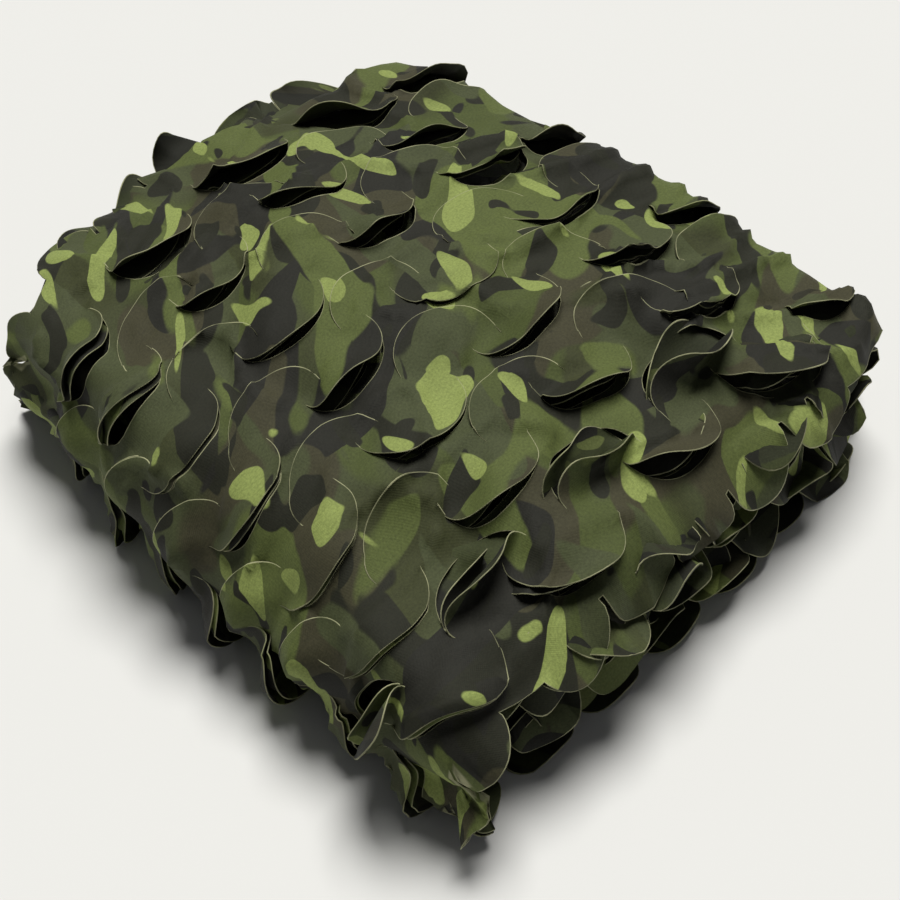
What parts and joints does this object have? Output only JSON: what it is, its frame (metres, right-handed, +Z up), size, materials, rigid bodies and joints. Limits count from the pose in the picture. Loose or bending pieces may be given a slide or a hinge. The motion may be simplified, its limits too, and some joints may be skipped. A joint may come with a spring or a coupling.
{
  "type": "folded camouflage netting",
  "caption": "Leaf-cut camouflage net cloth, folded back and forth into a low domed wad that lies flat on a surface.",
  "frame": {"origin": "centre of the wad's footprint, at the plane it rests on", "axes": "+Z up; Y runs along the fold bends, between the two cut edges; -X is the side where the outer turn of cloth rolls over, and +X the side with the narrow bends"},
  "size_m": [0.4647, 0.5126, 0.1579],
  "materials": {
    "netting_cloth": "matt woven synthetic with a printed camouflage"
  },
  "bodies": {
    "root": {"netting": "netting_cloth"}
  },
  "joints": []
}
